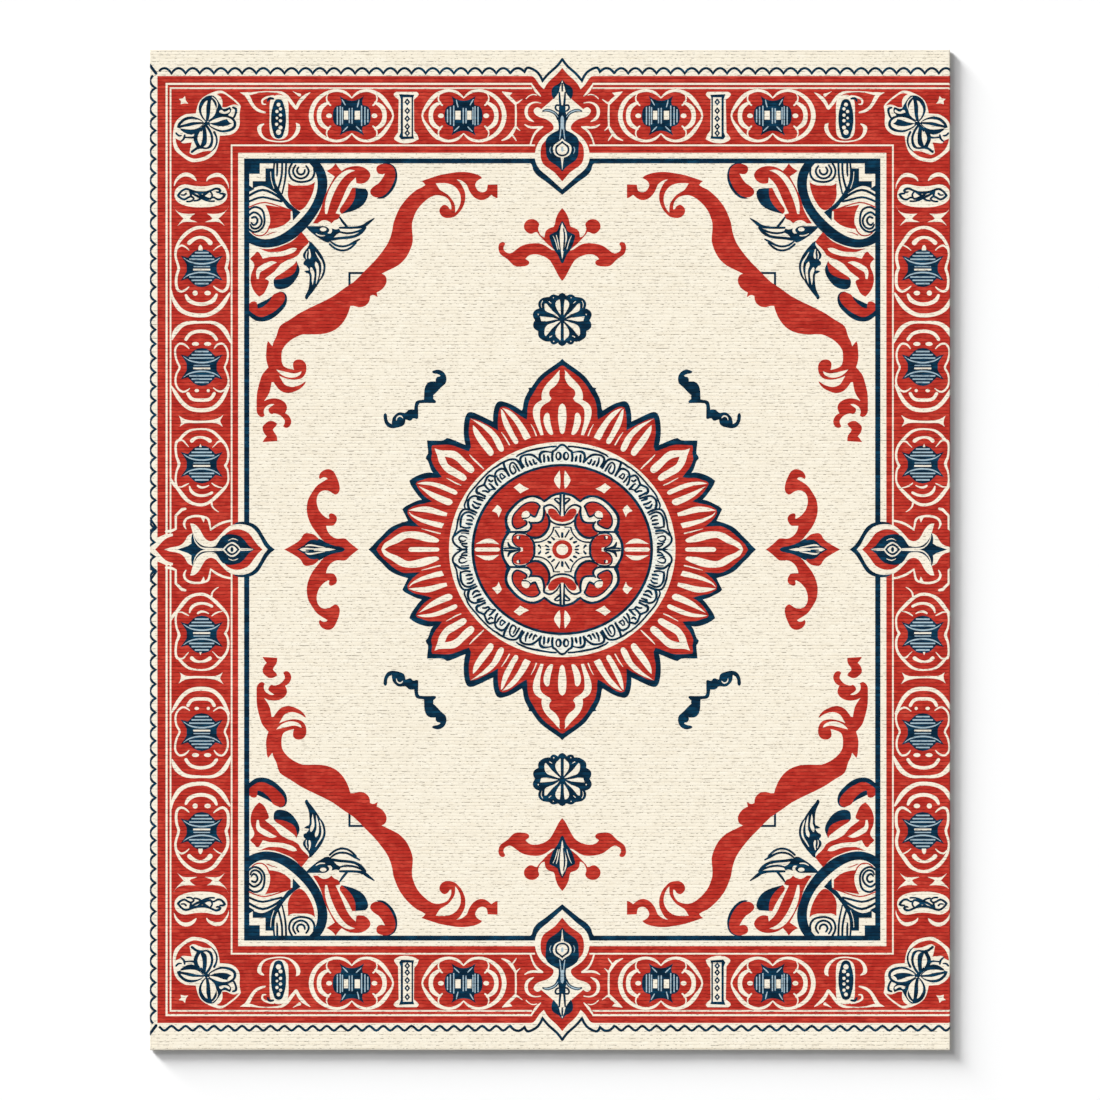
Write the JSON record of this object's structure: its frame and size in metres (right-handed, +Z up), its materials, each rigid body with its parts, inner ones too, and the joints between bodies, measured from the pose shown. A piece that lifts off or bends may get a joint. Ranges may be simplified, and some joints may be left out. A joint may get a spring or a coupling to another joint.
{
  "type": "area rug",
  "caption": "Flat rectangular ribbed area rug with a red border, a cream field and a round rayed medallion, on a felt cushion with mitred folded hems.",
  "frame": {"origin": "centre of the rug's underside, on the floor", "axes": "+X across the width, +Y along the length towards the far end, +Z up"},
  "size_m": [2.4384, 3.048, 0.01],
  "materials": {
    "cream_yarn": "ribbed flat weave, matt",
    "red_yarn": "ribbed flat weave, matt",
    "navy_yarn": "ribbed flat weave, matt",
    "ground_cloth": "plain woven jute and cotton",
    "latex_coat": "matt cured latex",
    "cushion_felt": "needled felt",
    "backing_cloth": "plain woven cotton",
    "hem_tape": "woven face turned under",
    "sewing_thread": "twisted thread",
    "label_cloth": "blank satin tape"
  },
  "bodies": {
    "root": {"face_cream_margin": "cream_yarn", "face_red_border": "red_yarn", "face_cream_guard": "cream_yarn", "face_navy_line": "navy_yarn", "face_cream_field": "cream_yarn", "face_red_rays": "red_yarn", "face_cream_lace": "cream_yarn", "face_navy_ring": "navy_yarn", "face_red_disc": "red_yarn", "cushion_felt": "cushion_felt", "latex_coat": "latex_coat", "woven_ground": "ground_cloth", "backing_cloth": "backing_cloth", "care_label": "label_cloth", "hem_left": "hem_tape", "hem_right": "hem_tape", "hem_near_end": "hem_tape", "hem_far_end": "hem_tape", "seam_thread_left": "sewing_thread", "seam_thread_right": "sewing_thread", "seam_thread_near_end": "sewing_thread", "seam_thread_far_end": "sewing_thread", "mitre_threads": "sewing_thread"}
  },
  "joints": []
}
